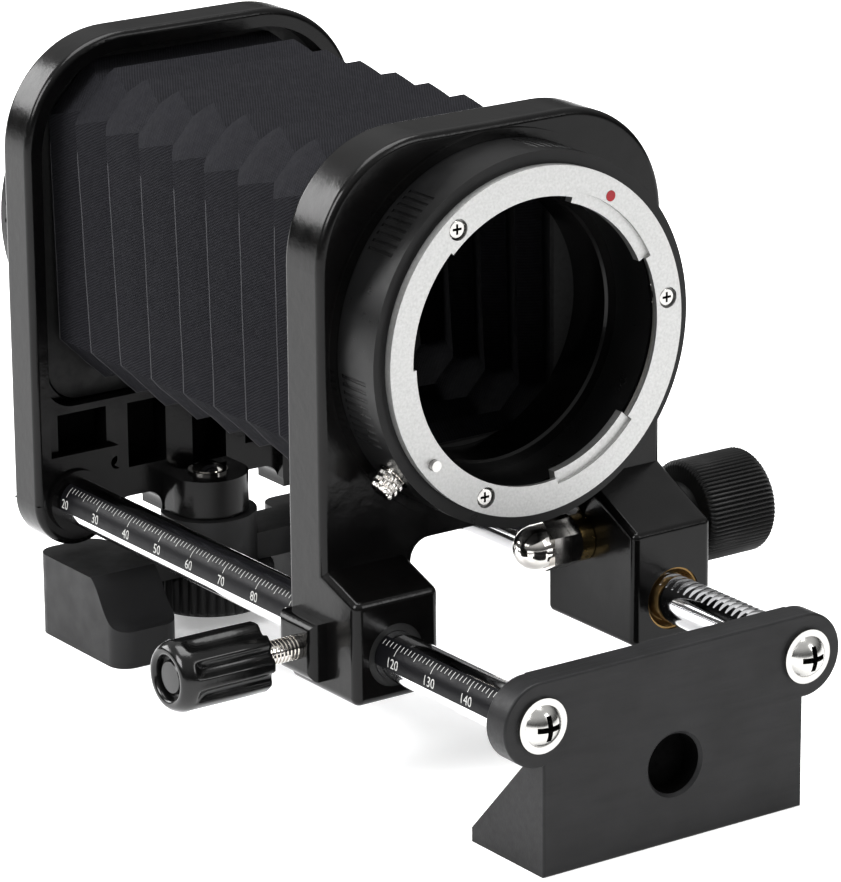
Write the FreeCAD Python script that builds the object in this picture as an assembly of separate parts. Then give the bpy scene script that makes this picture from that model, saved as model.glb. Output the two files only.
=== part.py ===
import FreeCAD, Part
import math
import os

# Macro bellows unit: a fixed rear standard and a front standard that a rack and pinion drives
# along two rods, with a pleated bellows between them. Millimetres, Z up, lens side toward -Y.
# The design frame has the optical axis at X 0; ORIGIN moves it to the centre of the bounding box.

V = FreeCAD.Vector
ORIGIN = V(4.45, 76.5, 0.0)
X_AXIS = V(1, 0, 0)
Y_AXIS = V(0, 1, 0)
Z_AXIS = V(0, 0, 1)

# rods
ROD_X = 26.2
ROD_Z = 25.6
ROD_R = 4.0
ROD_BACK = -9.6
ROD_FRONT = -149.5
FIT = 0.05

# rack and pinion, module 0.5
MODULE = 0.5
TEETH = 20
PINION_Y = -106.0
RACK_PITCH_Z = 29.1
PINION_Z = RACK_PITCH_Z + MODULE * TEETH / 2
RACK_Y0 = -147.5
RACK_Y1 = -44.0

# optical axis and lens ring
AXIS_Z = 73.76
RING_FACE = -118.4
THROAT_R = 23.8
FRAME_BORE_R = 22.5

# standards
HALF_W = 34.0
CORNER_R = 20.0
REAR_TOP = 108.0
REAR_Y0 = -17.4
REAR_Y1 = -9.0
PANEL_Y = -15.6
FRONT_TOP = 107.5
FRONT_Y0 = -106.5
FRONT_Y1 = -96.3
EDGE_R = 1.2

# bellows
BELLOWS_Z = 74.4
BELLOWS_BACK = -12.45
BELLOWS_FRONT = -96.35
BELLOWS_RIDGE = 27.0
BELLOWS_VALLEY = 23.2
FOLDS = 9
FOLD_Y0 = -14.0
FOLD_PITCH = 9.88

# front bracket
BRACKET_Y0 = -154.5
BRACKET_Y1 = -149.5
BRACKET_HALF = 25.74

# foot, clamp wheel and pivot
HUB_Y = -19.3
FOOT_HALF = 30.0
BAR_TOP = 14.8
BAR_BOTTOM = 9.8

# lock screw
LOCK_Y = -102.4
LOCK_Z = 25.4


def box(x0, x1, y0, y1, z0, z1):
    return Part.makeBox(x1 - x0, y1 - y0, z1 - z0, V(x0, y0, z0))


def cyl_x(r, x0, x1, y, z):
    return Part.makeCylinder(r, x1 - x0, V(x0, y, z), X_AXIS)


def cyl_y(r, y0, y1, x, z):
    return Part.makeCylinder(r, y1 - y0, V(x, y0, z), Y_AXIS)


def cyl_z(r, z0, z1, x, y):
    return Part.makeCylinder(r, z1 - z0, V(x, y, z0), Z_AXIS)


def ring_y(r_out, r_in, y0, y1, x, z):
    return cyl_y(r_out, y0, y1, x, z).cut(cyl_y(r_in, y0 - 1, y1 + 1, x, z))


def prism(points, direction):
    wire = Part.makePolygon([V(*p) for p in points] + [V(*points[0])])
    return Part.Face(wire).extrude(direction)


def fuse(shapes):
    return shapes[0].fuse(shapes[1:]).removeSplitter()


def round_rect_y(half_x, z0, z1, r, y0, y1, x=0.0):
    solid = box(x - half_x, x + half_x, y0, y1, z0, z1)
    edges = [e for e in solid.Edges if abs(e.tangentAt(e.FirstParameter).y) > 0.99]
    return solid.makeFillet(r, edges)


def fillet_where(shape, radius, test):
    edges = [e for e in shape.Edges if test(e)]
    return shape.makeFillet(radius, edges)


def save(node, shape):
    shape = shape.copy()
    shape.translate(ORIGIN)
    shape.exportStep("parts/" + node + ".step")


def polar(radius, degrees):
    a = math.radians(degrees)
    return radius * math.cos(a), AXIS_Z + radius * math.sin(a)


def hexagon_x(across_flats, x0, x1, y, z):
    r = across_flats / math.sqrt(3.0)
    corners = []
    for i in range(6):
        a = math.radians(60 * i + 30)
        corners.append((x0, y + r * math.cos(a), z + r * math.sin(a)))
    return prism(corners, V(x1 - x0, 0, 0))


def rack_rod():
    rod = cyl_y(ROD_R, ROD_FRONT, ROD_BACK, ROD_X, ROD_Z)
    pitch = math.pi * MODULE
    half_tip = pitch / 4 + MODULE * math.tan(math.radians(20))
    half_root = pitch / 4 - 1.25 * MODULE * math.tan(math.radians(20))
    top = RACK_PITCH_Z + MODULE + 0.3
    root = RACK_PITCH_Z - 1.25 * MODULE
    first = math.ceil((RACK_Y0 - PINION_Y) / pitch)
    last = math.floor((RACK_Y1 - PINION_Y) / pitch)
    points = [(0, PINION_Y + first * pitch - pitch / 2, top + 1)]
    for i in range(first, last + 1):
        y = PINION_Y + i * pitch
        points.append((0, y - half_tip - 0.01, top))
        points.append((0, y - half_tip, RACK_PITCH_Z + MODULE))
        points.append((0, y - half_root, root))
        points.append((0, y + half_root, root))
        points.append((0, y + half_tip, RACK_PITCH_Z + MODULE))
        points.append((0, y + half_tip + 0.01, top))
    points.append((0, PINION_Y + last * pitch + pitch / 2, top + 1))
    comb = prism([(ROD_X - 5, p[1], p[2]) for p in points], V(10, 0, 0))
    rod = rod.cut(comb)
    return rod.cut(cyl_y(2.0 + FIT, ROD_FRONT - 1, ROD_FRONT + 11, ROD_X, ROD_Z))


def scale_sector(r_in, r_out, y0, y1):
    a0 = math.radians(180 - 64)
    a1 = math.radians(180 + 10)
    points = [V(-ROD_X, y0, ROD_Z)]
    for i in range(9):
        a = a0 + (a1 - a0) * i / 8
        points.append(V(-ROD_X + 8 * math.cos(a), y0, ROD_Z + 8 * math.sin(a)))
    points.append(points[0])
    wedge = Part.Face(Part.makePolygon(points)).extrude(V(0, y1 - y0, 0))
    return ring_y(r_out, r_in, y0, y1, -ROD_X, ROD_Z).common(wedge)


def scale_rod():
    rod = cyl_y(ROD_R, ROD_FRONT, ROD_BACK, -ROD_X, ROD_Z)
    rod = rod.cut(scale_sector(ROD_R - 0.25, ROD_R + 1, ROD_FRONT + 0.5, -17.0))
    return rod.cut(cyl_y(2.0 + FIT, ROD_FRONT - 1, ROD_FRONT + 11, -ROD_X, ROD_Z))


def standard_outline(top, y0, y1, bottom, edge_r=0.0):
    body = round_rect_y(HALF_W, bottom - 40, top, CORNER_R, y0, y1)
    if edge_r:
        body = fillet_where(body, edge_r, lambda e: e.BoundBox.YLength < 0.01)
    return body.cut(box(-60, 60, y0 - 1, y1 + 1, bottom - 60, bottom))


def soft_disc_y(r, y0, y1, x, z, edge_r):
    disc = cyl_y(r, y0, y1, x, z)
    return fillet_where(disc, edge_r, lambda e: e.BoundBox.YLength < 0.01)


def rear_frame():
    shell = standard_outline(REAR_TOP, REAR_Y0, REAR_Y1, ROD_Z, EDGE_R)
    lower = box(-HALF_W, HALF_W, REAR_Y0, REAR_Y1, 19.6, ROD_Z + 0.01)
    lobes = [soft_disc_y(8.4, REAR_Y0, REAR_Y1, s * (HALF_W - 8.4), ROD_Z, EDGE_R) for s in (-1, 1)]
    lower = lower.cut([box(s * 42 - 16.4, s * 42 + 16.4, REAR_Y0 - 1, REAR_Y1 + 1, 10, ROD_Z) for s in (-1, 1)])
    shell = fuse([shell, lower] + lobes)
    arches = [round_rect_y(4.9, 12.0, 23.5, 3.0, REAR_Y0 - 1, REAR_Y1 + 1, s * 12.4) for s in (-1, 1)]
    shell = shell.cut(arches)
    recess = round_rect_y(HALF_W - 3.0, 10.0, REAR_TOP - 3.2, 17.0, REAR_Y0 - 1, -12.4)
    recess = recess.common(round_rect_y(HALF_W - 3.0, 42.2, 130.0, 6.0, REAR_Y0 - 1, -12.4))
    panel = box(-HALF_W + 3.0, HALF_W - 3.0, REAR_Y0 - 1, PANEL_Y, 34.0, 48.0)
    low_panel = box(-17.2, 17.2, REAR_Y0 - 1, PANEL_Y, 19.0, 34.5)
    shell = shell.cut([recess, panel, low_panel])
    bosses = [cyl_y(5.6, -18.4, -12.0, s * ROD_X, ROD_Z) for s in (-1, 1)]
    boss = cyl_z(7.2, 19.6, 26.5, 0, HUB_Y)
    web = box(-7.2, 7.2, HUB_Y, REAR_Y1, 19.6, 26.5)
    shell = fuse([shell, boss, web] + bosses)
    pockets = [
        box(-28.5, -18.6, PANEL_Y - 1, -10.2, 33.0, 41.0),
        box(-14.2, -6.3, PANEL_Y - 1, -10.2, 28.8, 40.7),
        box(-0.8, 6.3, PANEL_Y - 1, -10.2, 27.0, 40.0),
        box(10.4, 19.0, PANEL_Y - 1, -10.2, 28.6, 40.0),
        box(22.5, 28.5, PANEL_Y - 1, -10.2, 34.6, 40.4),
        cyl_y(1.2, PANEL_Y - 3, PANEL_Y + 1.6, -17.7, 30.9),
    ]
    opening = round_rect_y(24.5, 45.0, 101.0, 6.0, REAR_Y0 - 1, REAR_Y1 + 1)
    ledge = round_rect_y(28.4, 42.2, 103.6, 6.0, -12.5, -11.2)
    bores = [cyl_y(ROD_R, -20, ROD_BACK, s * ROD_X, ROD_Z) for s in (-1, 1)]
    pivot = cyl_z(2.1, 10, 30, 0, HUB_Y)
    return shell.cut(pockets + [opening, ledge, pivot] + bores)


def retaining_frame(y0, y1, half_x, z0, z1, r):
    plate = round_rect_y(half_x, z0, z1, r, y0, y1)
    return plate.cut(round_rect_y(18.5, 52.0, 95.0, 4.0, y0 - 1, y1 + 1))


def screw_y(x, z, y_seat, head_r, head_h, shank_r, length):
    flange = cyl_y(head_r, y_seat - 0.6, y_seat, x, z)
    dome_r = head_r * 0.76
    dome_h = head_h - 0.6
    sphere_r = (dome_r * dome_r + dome_h * dome_h) / (2 * dome_h)
    sphere = Part.makeSphere(sphere_r, V(x, y_seat - 0.6 - dome_h + sphere_r, z))
    dome = sphere.common(box(x - 9, x + 9, y_seat - head_h - 1, y_seat - 0.55, z - 9, z + 9))
    body = fuse([flange, dome, cyl_y(shank_r, y_seat - 0.2, y_seat + length, x, z)])
    slots = [
        box(x - 2.1, x + 2.1, y_seat - head_h - 1, y_seat - 0.9, z - 0.45, z + 0.45),
        box(x - 0.45, x + 0.45, y_seat - head_h - 1, y_seat - 0.9, z - 2.1, z + 2.1),
    ]
    return body.cut(slots)


def front_bracket():
    slab = box(-BRACKET_HALF, BRACKET_HALF, BRACKET_Y0, BRACKET_Y1, 0, 32.6)
    slab = fillet_where(slab, 0.4, lambda e: e.BoundBox.YMax < BRACKET_Y0 + 0.01)
    lobes = [soft_disc_y(7.0, BRACKET_Y0, BRACKET_Y1, s * ROD_X, ROD_Z, 0.4) for s in (-1, 1)]
    toe = prism(
        [
            (-BRACKET_HALF, BRACKET_Y1 - 0.5, 0),
            (-BRACKET_HALF, -135.4, 0),
            (-BRACKET_HALF, -135.4, 2.4),
            (-BRACKET_HALF, BRACKET_Y1, 17.5),
            (-BRACKET_HALF, BRACKET_Y1 - 0.5, 17.5),
        ],
        V(2 * BRACKET_HALF, 0, 0),
    )
    body = fuse([slab, toe] + lobes)
    holes = [cyl_y(2.2, BRACKET_Y0 - 1, BRACKET_Y1 + 1, s * ROD_X, ROD_Z) for s in (-1, 1)]
    holes.append(cyl_y(5.0, BRACKET_Y0 - 1, BRACKET_Y0 + 4.4, 0, 13.1))
    holes.append(Part.makeCone(5.5, 5.0, 0.5, V(0, BRACKET_Y0, 13.1), Y_AXIS))
    return body.cut(holes)


def foot_pad(x0, x1):
    points = [V(x0, -9.0, 0), V(x0, -9.0, BAR_TOP), V(x0, -27.8, BAR_TOP)]
    wire = [Part.makePolygon(points)]
    curve = Part.BSplineCurve()
    curve.interpolate([points[2], V(x0, -29.9, 12.6), V(x0, -31.8, 9.6), V(x0, -34.0, 7.5), V(x0, -36.6, 6.7)])
    wire.append(curve.toShape())
    wire.append(Part.makePolygon([V(x0, -36.6, 6.7), V(x0, -36.6, 0), points[0]]))
    face = Part.Face(Part.Wire([e for w in wire for e in w.Edges]))
    pad = face.extrude(V(x1 - x0, 0, 0))
    return fillet_where(
        pad,
        3.5,
        lambda e: abs(e.tangentAt(e.FirstParameter).z) > 0.99 and e.Length > 5,
    )


def rear_foot():
    pads = [foot_pad(-FOOT_HALF, -17.0), foot_pad(17.0, FOOT_HALF)]
    bar = box(-17.5, 17.5, -24.6, -14.0, BAR_BOTTOM, BAR_TOP)
    hub = cyl_z(8.6, BAR_BOTTOM, BAR_TOP, 0, HUB_Y)
    return fuse(pads + [bar, hub]).cut(cyl_z(2.1, 5, 20, 0, HUB_Y))


def clamp_wheel():
    wheel = cyl_z(11.5, 2.5, 9.6, 0, HUB_Y)
    flutes = []
    for i in range(40):
        a = 2 * math.pi * i / 40
        flutes.append(cyl_z(0.5, 2.0, 10.0, 11.7 * math.cos(a), HUB_Y + 11.7 * math.sin(a)))
    return wheel.cut(flutes + [cyl_z(2.0 + FIT, 7.0, 10.0, 0, HUB_Y), cyl_z(3.2, 2.0, 6.6, 0, HUB_Y)])


def pivot_bolt():
    shank = cyl_z(2.0, 7.4, 26.6, 0, HUB_Y)
    sphere_r = (2.75 ** 2 + 1.2 ** 2) / 2.4
    dome = Part.makeSphere(sphere_r, V(0, HUB_Y, 27.1 + 1.2 - sphere_r))
    dome = dome.common(box(-4, 4, HUB_Y - 4, HUB_Y + 4, 27.0, 29.0))
    washer = cyl_z(3.6, 26.5, 26.9, 0, HUB_Y)
    return fuse([shank, washer, cyl_z(2.75, 26.5, 27.1, 0, HUB_Y), dome])


def carriage_block(x0, x1, y0, z0, z1, z_top):
    return prism(
        [(x0, FRONT_Y1, z0), (x0, y0, z0), (x0, y0, z1), (x0, FRONT_Y0, z_top), (x0, FRONT_Y1, z_top)],
        V(x1 - x0, 0, 0),
    )


def back_outer_edge(edge, x):
    bounds = edge.BoundBox
    return abs(bounds.XMin - x) < 0.01 and abs(bounds.XMax - x) < 0.01 and bounds.YMin > FRONT_Y1 - 0.01


def front_frame():
    plate = standard_outline(FRONT_TOP, FRONT_Y0, FRONT_Y1, 36.0, EDGE_R)
    arch = round_rect_y(17.5, 10.0, 40.6, 3.6, FRONT_Y0 - 1, FRONT_Y1 + 1, 0.5)
    plate = plate.cut(arch)
    left = carriage_block(-HALF_W, -17.6, -115.5, 18.0, 35.3, 38.5)
    left = fillet_where(left, 1.5, lambda e: e.BoundBox.YMin < FRONT_Y0 - 0.5)
    left = fillet_where(left, EDGE_R, lambda e: back_outer_edge(e, -HALF_W))
    right = carriage_block(18.0, HALF_W, -120.3, 18.4, 37.8, 44.5)
    right = fillet_where(right, 1.2, lambda e: e.BoundBox.YMin < FRONT_Y0 - 0.5)
    right = fillet_where(right, EDGE_R, lambda e: back_outer_edge(e, HALF_W))
    clamp_boss = box(-37.0, -33.0, -107.3, -97.4, 20.5, 30.3)
    clamp_boss = fillet_where(clamp_boss, 1.5, lambda e: e.BoundBox.XMax < -36.9)
    step = cyl_y(32.6, FRONT_Y0 - 0.5, FRONT_Y0 + 0.5, 0, AXIS_Z)
    body = fuse([plate, left, right, clamp_boss, step])
    tools = [
        cyl_y(FRAME_BORE_R, FRONT_Y0 - 2, FRONT_Y1 + 2, 0, AXIS_Z),
        cyl_y(31.05, FRONT_Y0 - 2, FRONT_Y0, 0, AXIS_Z),
        Part.makeCone(FRAME_BORE_R + 0.4, FRAME_BORE_R, 0.4, V(0, FRONT_Y0, AXIS_Z), Y_AXIS),
        round_rect_y(27.2, 46.8, 100.7, 5.0, -97.6, FRONT_Y1 + 1),
        cyl_y(4.5, -130, -90, -ROD_X, ROD_Z),
        cyl_y(5.3, -117, -107.8, -ROD_X, ROD_Z),
        cyl_y(5.3, -100.0, -90, -ROD_X, ROD_Z),
        cyl_y(4.5, -130, -90, ROD_X, ROD_Z),
        cyl_y(5.3, -122, -112.6, ROD_X, ROD_Z),
        cyl_y(5.3, -100.0, -90, ROD_X, ROD_Z),
        cyl_x(5.8, 20.6, 40, PINION_Y, PINION_Z),
        cyl_x(2.5 + FIT, 10, 40, PINION_Y, PINION_Z),
        cyl_x(2.0 + FIT, -40, -25, LOCK_Y, LOCK_Z),
    ]
    return body.cut(tools)


def rod_bush(x, spans):
    return Part.makeCompound([ring_y(5.3, ROD_R + FIT, y0, y1, x, ROD_Z) for y0, y1 in spans])


def pinion_shaft():
    base_r = MODULE * TEETH / 2 * math.cos(math.radians(20))
    pitch_r = MODULE * TEETH / 2
    inv20 = math.tan(math.radians(20)) - math.radians(20)
    half_pitch = (math.pi * MODULE / 2 - 0.06) / 2 / pitch_r
    radii = [base_r, 4.85, 5.0, 5.15, 5.3, 5.42]
    flank = []
    for r in radii:
        alpha = math.acos(min(1.0, base_r / r))
        flank.append((r, half_pitch + inv20 - (math.tan(alpha) - alpha)))
    points = []
    for i in range(TEETH):
        centre = -math.pi / 2 + 2 * math.pi * i / TEETH
        points.append((4.36, centre - flank[0][1] - 0.02))
        for r, half in flank:
            points.append((r, centre - half))
        for r, half in reversed(flank):
            points.append((r, centre + half))
        points.append((4.36, centre + flank[0][1] + 0.02))
    profile = [(21.6, PINION_Y + r * math.cos(a), PINION_Z + r * math.sin(a)) for r, a in points]
    gear = prism(profile, V(9.2, 0, 0))
    return fuse(
        [
            gear,
            cyl_x(2.5, 7.6, 21.7, PINION_Y, PINION_Z),
            cyl_x(3.0, 30.7, 50.5, PINION_Y, PINION_Z),
        ]
    )


def drive_knob():
    knob = cyl_x(8.9, 38.8, 52.5, PINION_Y, PINION_Z)
    rim = [e for e in knob.Edges if abs(e.Length - 2 * math.pi * 8.9) < 0.1]
    knob = knob.makeChamfer(0.6, rim)
    collar = cyl_x(5.4, 34.9, 39.0, PINION_Y, PINION_Z)
    flutes = []
    for i in range(48):
        a = 2 * math.pi * i / 48
        y = PINION_Y + 9.05 * math.cos(a)
        z = PINION_Z + 9.05 * math.sin(a)
        flutes.append(cyl_x(0.32, 38.0, 53.0, y, z))
    body = fuse([knob, collar])
    bore = cyl_x(3.0 + 0.02, 30, 50.6, PINION_Y, PINION_Z)
    grub = cyl_z(1.5 + 0.02, PINION_Z + 2, PINION_Z + 9, 37.0, PINION_Y)
    return body.cut(flutes + [bore, grub])


def knob_grub_screw():
    body = cyl_z(1.5, PINION_Z + 3.05, PINION_Z + 5.2, 37.0, PINION_Y)
    return body.cut(box(35, 39, PINION_Y - 0.25, PINION_Y + 0.25, PINION_Z + 4.6, PINION_Z + 6))


def nut(across_flats, x0, x1):
    body = hexagon_x(across_flats, x0, x1, PINION_Y, PINION_Z)
    cone_r = across_flats / 2 + 0.1
    cone = Part.makeCone(cone_r + x1 - x0, cone_r, x1 - x0, V(x0, PINION_Y, PINION_Z), X_AXIS)
    return body.common(cone)


def hex_nut():
    return nut(8.0, 12.85, 15.25).cut(cyl_x(2.5 + 0.02, 10, 20, PINION_Y, PINION_Z))


def acorn_nut():
    r = 3.7
    tip = 4.6
    base = 9.6
    arc = Part.Arc(V(tip, 0, 0.4), V(tip + r - r * math.cos(0.8), 0, r * math.sin(0.8)), V(tip + r, 0, r)).toShape()
    outline = Part.makePolygon([V(tip + r, 0, r), V(base, 0, r), V(base, 0, 0), V(tip, 0, 0), V(tip, 0, 0.4)])
    profile = Part.Face(Part.Wire([arc] + outline.Edges))
    dome = profile.revolve(V(0, 0, 0), X_AXIS, 360)
    dome.translate(V(0, PINION_Y, PINION_Z))
    body = fuse([hexagon_x(8.0, 9.5, 12.75, PINION_Y, PINION_Z), dome])
    return body.cut(cyl_x(2.5 + 0.02, 7.4, 20, PINION_Y, PINION_Z))


def lock_knob():
    knob = cyl_x(6.0, -61.4, -44.2, LOCK_Y, LOCK_Z)
    outer = [e for e in knob.Edges if e.BoundBox.XMax < -61.3]
    knob = knob.makeChamfer(1.2, outer)
    flutes = []
    for i in range(8):
        a = 2 * math.pi * (i + 0.5) / 8
        y = LOCK_Y + 6.7 * math.cos(a)
        z = LOCK_Z + 6.7 * math.sin(a)
        flutes.append(cyl_x(1.5, -58.4, -40, y, z))
        flutes.append(Part.makeSphere(1.5, V(-58.4, y, z)))
    recess = cyl_x(3.6, -62, -59.8, LOCK_Y, LOCK_Z).cut(cyl_x(2.0, -63, -59, LOCK_Y, LOCK_Z))
    plug = cyl_x(2.1, -62, -60.4, LOCK_Y, LOCK_Z)
    bore = cyl_x(2.0 + 0.02, -56, -40, LOCK_Y, LOCK_Z)
    return knob.cut(flutes + [recess, plug, bore])


def lock_screw():
    body = cyl_x(2.0, -56.0, -32.0, LOCK_Y, LOCK_Z)
    grooves = []
    for i in range(11):
        x = -44.6 + 0.7 * i
        outer = cyl_x(3.0, x, x + 0.3, LOCK_Y, LOCK_Z)
        grooves.append(outer.cut(cyl_x(1.72, x - 1, x + 1, LOCK_Y, LOCK_Z)))
    return body.cut(grooves)


def bellows():
    sections = [(BELLOWS_BACK, 25.8)]
    for i in range(FOLDS):
        ridge = FOLD_Y0 - i * FOLD_PITCH
        sections.append((ridge, BELLOWS_RIDGE))
        if i < FOLDS - 1:
            sections.append((ridge - FOLD_PITCH / 2, BELLOWS_VALLEY))
    sections.append((BELLOWS_FRONT, 24.5))
    return zigzag(sections, 0.0).cut(zigzag(sections, 1.0))


def octagon(y, half, inset):
    h = half - inset
    v = h + 1.6
    c = h * 0.32
    z = BELLOWS_Z
    outline = [(-h, -v + c), (-h, v - c), (-h + c, v), (h - c, v), (h, v - c), (h, -v + c), (h - c, -v), (-h + c, -v)]
    return Part.makePolygon([V(p[0], y, z + p[1]) for p in outline] + [V(-h, y, z - v + c)])


def zigzag(sections, inset):
    wires = [octagon(y, half, inset) for y, half in sections]
    if inset:
        first = octagon(sections[0][0] + 1, sections[0][1], inset)
        last = octagon(sections[-1][0] - 1, sections[-1][1], inset)
        wires = [first] + wires + [last]
    return Part.makeLoft(wires, True, True)


def mount_ring():
    ring = ring_y(31.0, 24.5, -116.9, FRONT_Y0, 0, AXIS_Z)
    tools = [cyl_y(28.4, -117.5, -115.6, 0, AXIS_Z)]
    for centre in (15, 75, 135, 195, 255, 315):
        for k in range(9):
            x, z = polar(31.1, centre + (k - 4) * 2.6)
            tools.append(cyl_y(0.35, -114.5, -108.0, x, z))
    bx, bz = polar(1.0, -141.0)
    radial = V(bx, 0, bz - AXIS_Z)
    tools.append(Part.makeCylinder(2.75, 8.0, V(0, -112.0, AXIS_Z) + radial * 27.2, radial))
    tools.append(Part.makeCylinder(1.0 + FIT, 6.0, V(0, -112.0, AXIS_Z) + radial * 25.0, radial))
    px, pz = polar(26.5, -141.2)
    tools.append(cyl_y(0.9 + FIT, -118, -113.3, px, pz))
    for a in (126.5, 6.5, -113.5):
        x, z = polar(26.2, a)
        tools.append(cyl_y(0.8 + 0.02, -118, -111.0, x, z))
    return ring.cut(tools)


def sector_y(r_out, centre, half, y0, y1):
    points = [V(0, y0, AXIS_Z)]
    for k in range(7):
        a = math.radians(centre - half + 2 * half * k / 6)
        points.append(V(60 * math.cos(a), y0, AXIS_Z + 60 * math.sin(a)))
    wedge = Part.Face(Part.makePolygon(points + [points[0]])).extrude(V(0, y1 - y0, 0))
    return wedge.common(cyl_y(r_out, y0, y1, 0, AXIS_Z))


def lens_flange():
    ring = ring_y(28.8, THROAT_R, RING_FACE, -116.9, 0, AXIS_Z)
    ring = ring.fuse(ring_y(28.2, THROAT_R, -117.0, -116.2, 0, AXIS_Z)).removeSplitter()
    tools = [sector_y(24.4, 157.5, 23.5, RING_FACE - 1, -115), cyl_y(25.6, -117.7, -116.1, 0, AXIS_Z)]
    ledges = []
    for centre, half in ((49.0, 23.5), (-61.0, 20.0)):
        tools.append(sector_y(24.8, centre, half, RING_FACE - 1, -117.7))
        ledge = sector_y(26.0, centre, half, -117.75, -116.2)
        ledges.append(ledge.cut(cyl_y(22.8, -120, -110, 0, AXIS_Z)))
    ring = fuse([ring.cut(tools)] + ledges)
    px, pz = polar(26.5, -141.2)
    tools = [cyl_y(0.9 + FIT, -120, -115, px, pz)]
    for a in (126.5, 6.5, -113.5):
        x, z = polar(26.2, a)
        tools.append(cyl_y(0.85, -120, -115, x, z))
        tools.append(cyl_y(1.75, -120, RING_FACE + 1.0, x, z))
    x, z = polar(26.1, 56.8)
    tools.append(cyl_y(0.92, -120, RING_FACE + 0.5, x, z))
    return ring.cut(tools)


def flange_screws():
    solids = []
    for a in (126.5, 6.5, -113.5):
        x, z = polar(26.2, a)
        head = soft_disc_y(1.5, RING_FACE + 0.35, RING_FACE + 1.0, x, z, 0.25)
        body = fuse([head, cyl_y(0.8, RING_FACE + 0.9, -112.0, x, z)])
        slots = [
            box(x - 0.85, x + 0.85, RING_FACE, RING_FACE + 0.7, z - 0.2, z + 0.2),
            box(x - 0.2, x + 0.2, RING_FACE, RING_FACE + 0.7, z - 0.85, z + 0.85),
        ]
        solids.append(body.cut(slots))
    return Part.makeCompound(solids)


def spring_plate():
    ring = ring_y(27.6, 24.6, -116.15, -115.75, 0, AXIS_Z)
    px, pz = polar(26.5, -141.2)
    tools = [cyl_y(1.4, -118, -110, px, pz)]
    for a in (126.5, 6.5, -113.5):
        x, z = polar(26.2, a)
        tools.append(cyl_y(0.9, -118, -110, x, z))
    return ring.cut(tools)


def release_button():
    bx, bz = polar(1.0, -141.0)
    radial = V(bx, 0, bz - AXIS_Z)
    origin = V(0, -112.0, AXIS_Z)
    cap = Part.makeCylinder(2.45, 4.2, origin + radial * 30.2, radial)
    stem = Part.makeCylinder(1.0, 4.8, origin + radial * 26.4, radial)
    return fuse([cap, stem])


def release_spring():
    bx, bz = polar(1.0, -141.0)
    radial = V(bx, 0, bz - AXIS_Z)
    origin = V(0, -112.0, AXIS_Z)
    outer = Part.makeCylinder(2.2, 2.8, origin + radial * 27.3, radial)
    return outer.cut(Part.makeCylinder(1.5, 3.2, origin + radial * 27.1, radial))


def rear_mount_ring():
    ring = ring_y(30.0, 22.6, REAR_Y1, -1.0, 0, AXIS_Z)
    knurl = []
    for i in range(60):
        x, z = polar(30.1, i * 6)
        knurl.append(cyl_y(0.4, -7.5, -2.5, x, z))
    for i in range(4):
        x, z = polar(26.0, 45 + 90 * i)
        knurl.append(cyl_y(0.8 + 0.02, -6, 0, x, z))
    return ring.cut(knurl)


def rear_bayonet():
    flange = ring_y(28.4, 20.6, -1.0, 0.0, 0, AXIS_Z)
    tube = ring_y(21.9, 20.6, -0.5, 4.0, 0, AXIS_Z)
    lugs = []
    for i in range(3):
        sector = [V(0, 2.2, AXIS_Z)]
        for k in range(6):
            a = math.radians(120 * i + 20 + 10 * k)
            sector.append(V(23.3 * math.cos(a), 2.2, AXIS_Z + 23.3 * math.sin(a)))
        wedge = Part.Face(Part.makePolygon(sector + [sector[0]])).extrude(V(0, 1.4, 0))
        lugs.append(wedge.cut(cyl_y(21.0, 0, 6, 0, AXIS_Z)))
    body = fuse([flange, tube] + lugs)
    holes = []
    for i in range(4):
        x, z = polar(26.0, 45 + 90 * i)
        holes.append(cyl_y(0.85, -3, 2, x, z))
        holes.append(Part.makeCone(0.85, 1.7, 0.85, V(x, -0.85, z), Y_AXIS))
    return body.cut(holes)


def rear_mount_screws():
    solids = []
    for i in range(4):
        x, z = polar(26.0, 45 + 90 * i)
        cone = Part.makeCone(0.8, 1.6, 0.8, V(x, -0.86, z), Y_AXIS)
        body = fuse([cone, cyl_y(0.8, -5.5, -0.8, x, z)])
        solids.append(body.cut(box(x - 2, x + 2, -0.4, 1, z - 0.2, z + 0.2)))
    return Part.makeCompound(solids)


os.makedirs("parts", exist_ok=True)

save("rear_frame", rear_frame())
save("rear_mount_ring", rear_mount_ring())
save("rear_bayonet", rear_bayonet())
save("rear_mount_screws", rear_mount_screws())
save("scale_rod", scale_rod())
save("scale_strip", scale_sector(ROD_R - 0.24, ROD_R, ROD_FRONT + 0.6, -17.1))
save("rack_rod", rack_rod())
save("front_bracket", front_bracket())
bracket_screws = [screw_y(s * ROD_X, ROD_Z, BRACKET_Y0, 4.5, 2.5, 2.0, 14.0) for s in (-1, 1)]
save("bracket_screws", Part.makeCompound(bracket_screws))
save("rear_bellows_frame", retaining_frame(-12.4, -11.3, 28.2, 42.4, 103.4, 6.2))
save("bellows", bellows())
save("pivot_bolt", pivot_bolt())
save("rear_foot", rear_foot())
save("hub_disc", cyl_z(8.6, BAR_TOP, 19.4, 0, HUB_Y).cut(cyl_z(2.1, 10, 25, 0, HUB_Y)))
save("clamp_wheel", clamp_wheel())
save("front_frame", front_frame())
save("front_bellows_frame", retaining_frame(-97.5, -96.4, 27.0, 47.0, 100.5, 5.2))
save("guide_bushes", rod_bush(-ROD_X, ((-115.3, -107.9), (-99.9, -96.4))))
rack_bushes = rod_bush(ROD_X, ((-120.0, -112.7), (-99.9, -96.4)))
save("rack_bushes", rack_bushes.cut(Part.makeCone(5.0, 4.1, 1.2, V(ROD_X, -120.0, ROD_Z), Y_AXIS)))
pinion_bush = cyl_x(5.75, 31.2, 33.9, PINION_Y, PINION_Z).cut(cyl_x(3.0 + FIT, 30, 35, PINION_Y, PINION_Z))
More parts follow.
